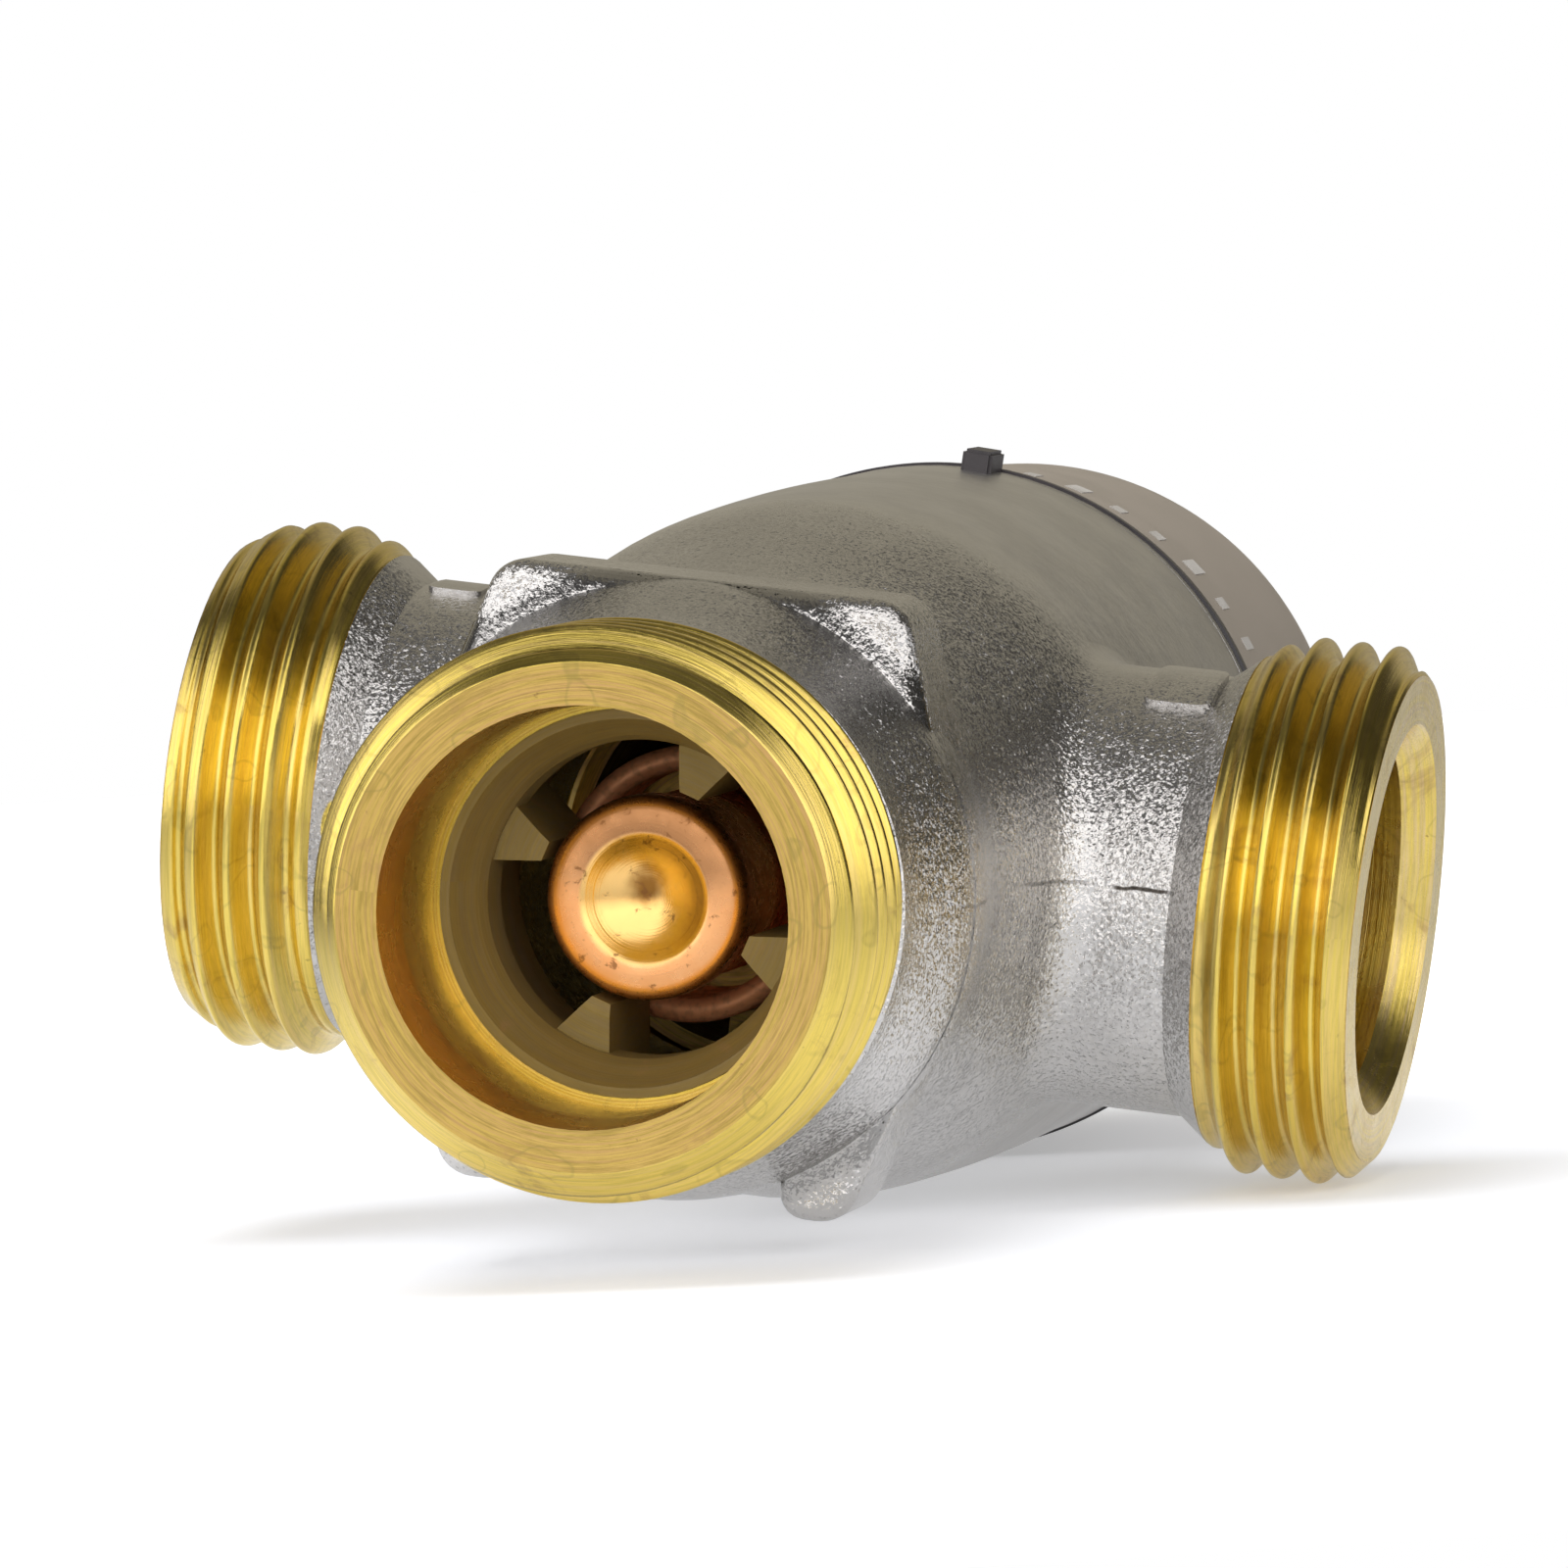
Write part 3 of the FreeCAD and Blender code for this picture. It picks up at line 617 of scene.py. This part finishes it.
def part_of_spring(name, node, keep_front, cut):
    """Copy of a spring's mesh up to, or from, the plane y = cut, closed where it is cut."""
    mesh = NODES[node].data.copy()
    tidy = bmesh.new()
    tidy.from_mesh(mesh)
    bmesh.ops.remove_doubles(tidy, verts=tidy.verts, dist=1e-6)
    bmesh.ops.bisect_plane(tidy, geom=tidy.verts[:] + tidy.edges[:] + tidy.faces[:], dist=1e-7,
                           plane_co=(0, cut, 0), plane_no=(0, 1, 0),
                           clear_outer=keep_front, clear_inner=not keep_front)
    bmesh.ops.holes_fill(tidy, edges=[edge for edge in tidy.edges if edge.is_boundary], sides=0)
    tidy.to_mesh(mesh)
    tidy.free()
    return add_object(name, mesh)


def return_coil():
    """The return spring cut into two lengths at y = RETURN_CUT."""
    front_coil = part_of_spring("return_coil_front", "return_spring", True, RETURN_CUT)
    rear_coil = part_of_spring("return_coil_rear", "return_spring", False, RETURN_CUT)
    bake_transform(front_coil)
    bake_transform(rear_coil)
    for coil in (front_coil, rear_coil):
        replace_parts(coil, "return_spring")


def overload_coil():
    """Copy of the overload spring, carried by the carriage."""
    made = add_object("overload_coil", NODES["overload_spring"].data.copy())
    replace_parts(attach(made, "carriage"), "overload_spring")
    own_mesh(made)


return_coil()
overload_coil()


# ---- element cup and index marker ---------------------------------------------------------------
# Outline of the cup as (radius, distance behind its face) in millimetres, from the dish's middle
CUP_FACE = -40.4
CUP_DISH = ((0, 1.42), (0.35, 1.40), (0.8, 1.32), (1.4, 1.17), (2.0, 0.98), (2.6, 0.74), (3.1, 0.47),
            (3.5, 0.22), (3.75, 0.08), (3.9, 0.02))
CUP_RIM = ((4.1, 0.0), (4.6, 0.01), (5.1, 0.04), (5.4, 0.10), (5.62, 0.20), (5.8, 0.36), (5.92, 0.58),
           (5.98, 0.86), (6.0, 1.3))
CUP_BACK = ((6.0, 2.8), (5.9, 3.0), (5.6, 3.2), (5.6, 21.2), (7.6, 21.2), (7.6, 22.8), (0, 22.8))

# Section of the ring in the seam as (radius, y) in millimetres. It stands 0.15 mm out of the casting, so
# that the seam reads as a dark line; its underside is trimmed so that nothing reaches below the solids.
RING_SECTION = ((20.0, 35.64), (22.42, 35.64), (22.6, 35.8), (22.6, 36.5), (20.0, 36.5))
RING_LOWEST = -22.44
RING_STEPS = 180
# The block is shorter than the solid's, and turned 2.8 degrees from the top where that is turned 7.
BLOCK_TURN = math.radians(2.8)
BLOCK_MIDDLE = (0, 34.3 * MM, 22.75 * MM)
BLOCK_SIZE = (2.0 * MM, 3.8 * MM, 2.1 * MM)
BLOCK_EDGE = 0.22 * MM


def lathe(name, outline, steps=96):
    """Closed surface of revolution about Y from (radius, y) points in millimetres, both ends on the axis."""
    points = [(0, outline[0][1] * MM, 0)]
    faces = []
    rings = [(r * MM, y * MM) for r, y in outline[1:-1]]
    for radius, along in rings:
        for angle in round_angles(steps):
            x, z = polar(radius, angle)
            points.append((x, along, z))
    points.append((0, outline[-1][1] * MM, 0))
    last = len(points) - 1
    for k in range(steps):
        after = (k + 1) % steps
        faces.append((0, 1 + k, 1 + after))
        faces.append((last, last - steps + after, last - steps + k))
        for j in range(len(rings) - 1):
            low, high = 1 + j * steps, 1 + (j + 1) * steps
            faces.append((low + k, high + k, high + after, low + after))
    mesh = bpy.data.meshes.new(name)
    mesh.from_pydata(points, [], faces)
    shade_smooth(mesh)
    return add_object(name, mesh)


def cup():
    """The element's cup with the smooth dish and rounded rim that the solid draws in flats."""
    made = lathe("wax_cup", [(r, CUP_FACE + y) for r, y in CUP_DISH + CUP_RIM + CUP_BACK])
    made.data.materials.append(finishes["copper"])
    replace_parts(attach(made, "element"), "element_cup")


def index_marker():
    """Black ring that shows in the seam, and the small block the scale is read against."""
    tidy = bmesh.new()
    rings = []
    for angle in round_angles(RING_STEPS):
        rings.append([tidy.verts.new((r * MM * math.cos(angle), y * MM,
                                      max(r * math.sin(angle), RING_LOWEST) * MM))
                      for r, y in RING_SECTION])
    for here, after in zip(rings, rings[1:] + rings[:1]):
        for j in range(len(RING_SECTION)):
            following = (j + 1) % len(RING_SECTION)
            tidy.faces.new((here[j], after[j], after[following], here[following]))
    block = bmesh.ops.create_cube(tidy, size=1.0)["verts"]
    shape = Matrix.Rotation(BLOCK_TURN, 4, "Y") @ Matrix.Translation(BLOCK_MIDDLE)
    shape = shape @ Matrix.Diagonal((*BLOCK_SIZE, 1.0))
    bmesh.ops.transform(tidy, matrix=shape, verts=block)
    edges = list({edge for vert in block for edge in vert.link_edges})
    bmesh.ops.bevel(tidy, geom=edges, offset=BLOCK_EDGE, segments=2, affect="EDGES")
    bmesh.ops.recalc_face_normals(tidy, faces=tidy.faces)
    mesh = bpy.data.meshes.new("index_marker")
    tidy.to_mesh(mesh)
    tidy.free()
    mesh.materials.append(finishes["black_plastic"])
    marker = add_object("index_marker", mesh)
    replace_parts(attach(marker, "valve"), "index_ring")


cup()
index_marker()

# ---- scale on the cap ---------------------------------------------------------------------------
CAP_FRONT, CAP_FRONT_R = 37.1 * MM, 22.35 * MM
CAP_NARROWS, CAP_LONG = 0.8, 25.7   # the drum narrows by the first over a length of the second
TICKS = 45
TICK_STEP, FIRST_TICK = 8, 2.5      # degrees
TICK_FRONT = 40.9 * MM
SHORT_TICK = (math.radians(1.15), 43.4 * MM)        # half its width, and Y of its rear end
LONG_TICK = (math.radians(1.6), 44.6 * MM)
TICK_LIFT = 0.05 * MM               # how far a tick stands above the drum, and how deep it starts


def cap_radius(along):
    """Radius of the cap's drum at Y = along."""
    return CAP_FRONT_R - CAP_NARROWS * (along - CAP_FRONT) / CAP_LONG


def scale_marks():
    """Plain printed ticks round the cap's rim; every third one is longer."""
    points, faces = [], []
    for k in range(TICKS):
        middle = math.radians(TICK_STEP * k + FIRST_TICK)
        half, end = SHORT_TICK if k % 3 else LONG_TICK
        low, high = len(points), len(points) + 6
        for lift in (-TICK_LIFT, TICK_LIFT):
            for along in (TICK_FRONT, end):
                for angle in (middle - half, middle, middle + half):
                    x, z = polar(cap_radius(along) + lift, angle)
                    points.append((x, along, z))
        quads = ((0, 1, 4, 3), (1, 2, 5, 4))
        faces += [(low + d, low + c, low + b, low + a) for a, b, c, d in quads]
        faces += [(high + a, high + b, high + c, high + d) for a, b, c, d in quads]
        border = [0, 1, 2, 5, 4, 3]
        for a, b in zip(border, border[1:] + border[:1]):
            faces.append((low + a, low + b, high + b, high + a))
    mesh = bpy.data.meshes.new("scale_marks")
    mesh.from_pydata(points, [], faces)
    mesh.materials.append(finishes["mark_paint"])
    made = add_object("scale_marks", mesh)
    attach(made, "knob")


scale_marks()

# ---- floor, camera and light --------------------------------------------------------------------
# The valve lies on the bulb and on the right port, so the floor is tilted in the valve's own frame.
ROLL = math.radians(9.7)
PITCH = math.radians(1.1)
floor_up = Vector((-math.sin(ROLL), math.sin(PITCH), math.cos(ROLL) * math.cos(PITCH))).normalized()
lowest = min(floor_up.dot(v.co) for name in ("valve_body", "cap") for v in NODES[name].data.vertices)

camera_right = Vector((0.9664, 0.2380, 0.0972))
camera_up = Vector((-0.1163, 0.0674, 0.9909))
camera_back = camera_right.cross(camera_up).normalized()
camera_place = Vector((139.52, -597.46, 61.00)) * MM
SENSOR, LENS = 36, 228.31           # millimetres

front = (camera_back - floor_up * camera_back.dot(floor_up)).normalized()
right = front.cross(floor_up) * -1

FLOOR_R, TABLE_EDGE = 0.9, 0.2      # metres; the disc is cut off straight in front
FLOOR_STEPS = 96
# the floor's own light: distances from the origin in metres, then its level at each
GLOW_TO_CAMERA = (0.05, 0.16, 0.36, 1.0)
GLOW_TO_METAL = (0.03, 0.14, 0.30, 0.0)

# the studio's walls: (degrees above the horizon, level)
AHEAD = ((-35, 0.3), (-18, 0.34), (-9, 0.6), (-1, 1.35), (8, 1.8), (36, 1.6), (47, 0.55), (55, 0.11),
         (80, 0.11), (90, 0.2))
BESIDE = ((-20, 0.1), (0, 0.05), (40, 0.07), (60, 0.12), (90, 0.2))
BEHIND = ((-20, 0.42), (30, 0.40), (60, 0.355), (80, 0.25), (90, 0.2))
# and where one passes into the next, as an angle from straight ahead to either side
AHEAD_END, AHEAD_END_EXTRA_LEFT, AHEAD_SOFT = 70 * DEGREE, 46 * DEGREE, 9 * DEGREE
BEHIND_START = (136 * DEGREE, 152 * DEGREE)

LAMP_SIZE, LAMP_POWER = 0.25, 0.75


def on_floor(x, y, z):
    """Point x to the right of the origin, y towards the viewer and z above the floor, in metres."""
    return right * x + front * y + floor_up * (z + lowest)


def make_camera():
    data = bpy.data.cameras.new("camera")
    data.sensor_width = SENSOR
    data.lens = LENS
    data.clip_start = 0.01
    made = add_object("camera", data)
    turned = Matrix((camera_right, camera_up, camera_back)).transposed().to_4x4()
    made.matrix_world = Matrix.Translation(camera_place) @ turned
    bpy.context.scene.camera = made


def make_floor():
    """Disc that keeps the shadow; its own light lifts what camera and metal see of it towards white."""
    rim = []
    for angle in round_angles(FLOOR_STEPS):
        across, near = polar(FLOOR_R, angle)
        rim.append(on_floor(across, min(TABLE_EDGE, near), 0))
    mesh = bpy.data.meshes.new("floor")
    mesh.from_pydata([on_floor(0, 0, 0)] + rim, [],
                     [(0, 1 + (k + 1) % FLOOR_STEPS, 1 + k) for k in range(FLOOR_STEPS)])
    made = add_object("floor", mesh)
    paint = bpy.data.materials.new("floor")
    tree = Tree(paint)
    out = tree.node("ShaderNodeOutputMaterial")
    diffuse = tree.node("ShaderNodeBsdfDiffuse")
    diffuse.inputs[0].default_value = rgb(0.77, 0.79, 0.84)
    glow = tree.node("ShaderNodeEmission")
    path = tree.node("ShaderNodeLightPath")
    away = tree.vector("LENGTH", tree.node("ShaderNodeTexCoord").outputs["Object"])
    to_camera = tree.times(path.outputs["Is Camera Ray"], tree.span(away, *GLOW_TO_CAMERA))
    to_metal = tree.times(path.outputs["Is Glossy Ray"], tree.span(away, *GLOW_TO_METAL))
    tree.put(glow.inputs["Strength"], tree.plus(to_camera, to_metal))
    both = tree.node("ShaderNodeAddShader")
    tree.links.new(diffuse.outputs[0], both.inputs[0])
    tree.links.new(glow.outputs[0], both.inputs[1])
    tree.links.new(both.outputs[0], out.inputs[0])
    mesh.materials.append(paint)


def make_world():
    """Studio that the metal mirrors: bright ahead over the horizon, dark overhead and beside, dim behind."""
    world = bpy.data.worlds.new("studio")
    bpy.context.scene.world = world
    tree = Tree(world)
    out = tree.node("ShaderNodeOutputWorld")
    back = tree.node("ShaderNodeBackground")
    way = tree.node("ShaderNodeTexCoord").outputs["Generated"]
    rightward, forward, upward = (tree.vector("DOT_PRODUCT", way, tuple(v)) for v in (right, front, floor_up))
    turn = tree.math("ABSOLUTE", tree.math("ARCTAN2", rightward, forward))
    height = tree.math("MULTIPLY_ADD", tree.math("ARCSINE", upward), 1 / math.pi, 0.5)

    def band(stops, tint):
        levels = tree.ramp(height, [((angle + 90) / 180, level) for angle, level in stops])
        return tree.mix(1.0, levels, tint, "MULTIPLY")

    leftward = tree.span(rightward, -0.2, 0.1, 1.0, 0.0)
    ahead_end = tree.math("MULTIPLY_ADD", leftward, AHEAD_END_EXTRA_LEFT, AHEAD_END)
    past_ahead = tree.span(tree.minus(turn, ahead_end), -AHEAD_SOFT, AHEAD_SOFT)
    level = tree.mix(past_ahead, band(AHEAD, rgb(1.0, 0.985, 0.99)), band(BESIDE, rgb(1.0, 0.95, 0.88)))
    level = tree.mix(tree.span(turn, *BEHIND_START), level, band(BEHIND, rgb(1.0, 0.92, 0.73)))
    path = tree.node("ShaderNodeLightPath")
    tree.put(back.inputs["Color"], tree.mix(path.outputs["Is Camera Ray"], level, rgb(1, 1, 1)))
    back.inputs["Strength"].default_value = 1.0
    tree.links.new(back.outputs[0], out.inputs[0])


def make_lamp():
    """Soft lamp that lights the floor and the plastics; the metal mirrors only the studio round it."""
    data = bpy.data.lights.new("top_soft", "AREA")
    data.shape = "RECTANGLE"
    data.size = data.size_y = LAMP_SIZE
    data.energy = LAMP_POWER
    made = add_object("top_soft", data)
    place = on_floor(-0.03, 0.04, 0.32)
    made.matrix_world = Matrix.Translation(place) @ place.to_track_quat("Z", "Y").to_matrix().to_4x4()
    made.visible_glossy = False


make_camera()
make_floor()
make_world()
make_lamp()

bpy.context.scene.view_settings.view_transform = "Standard"
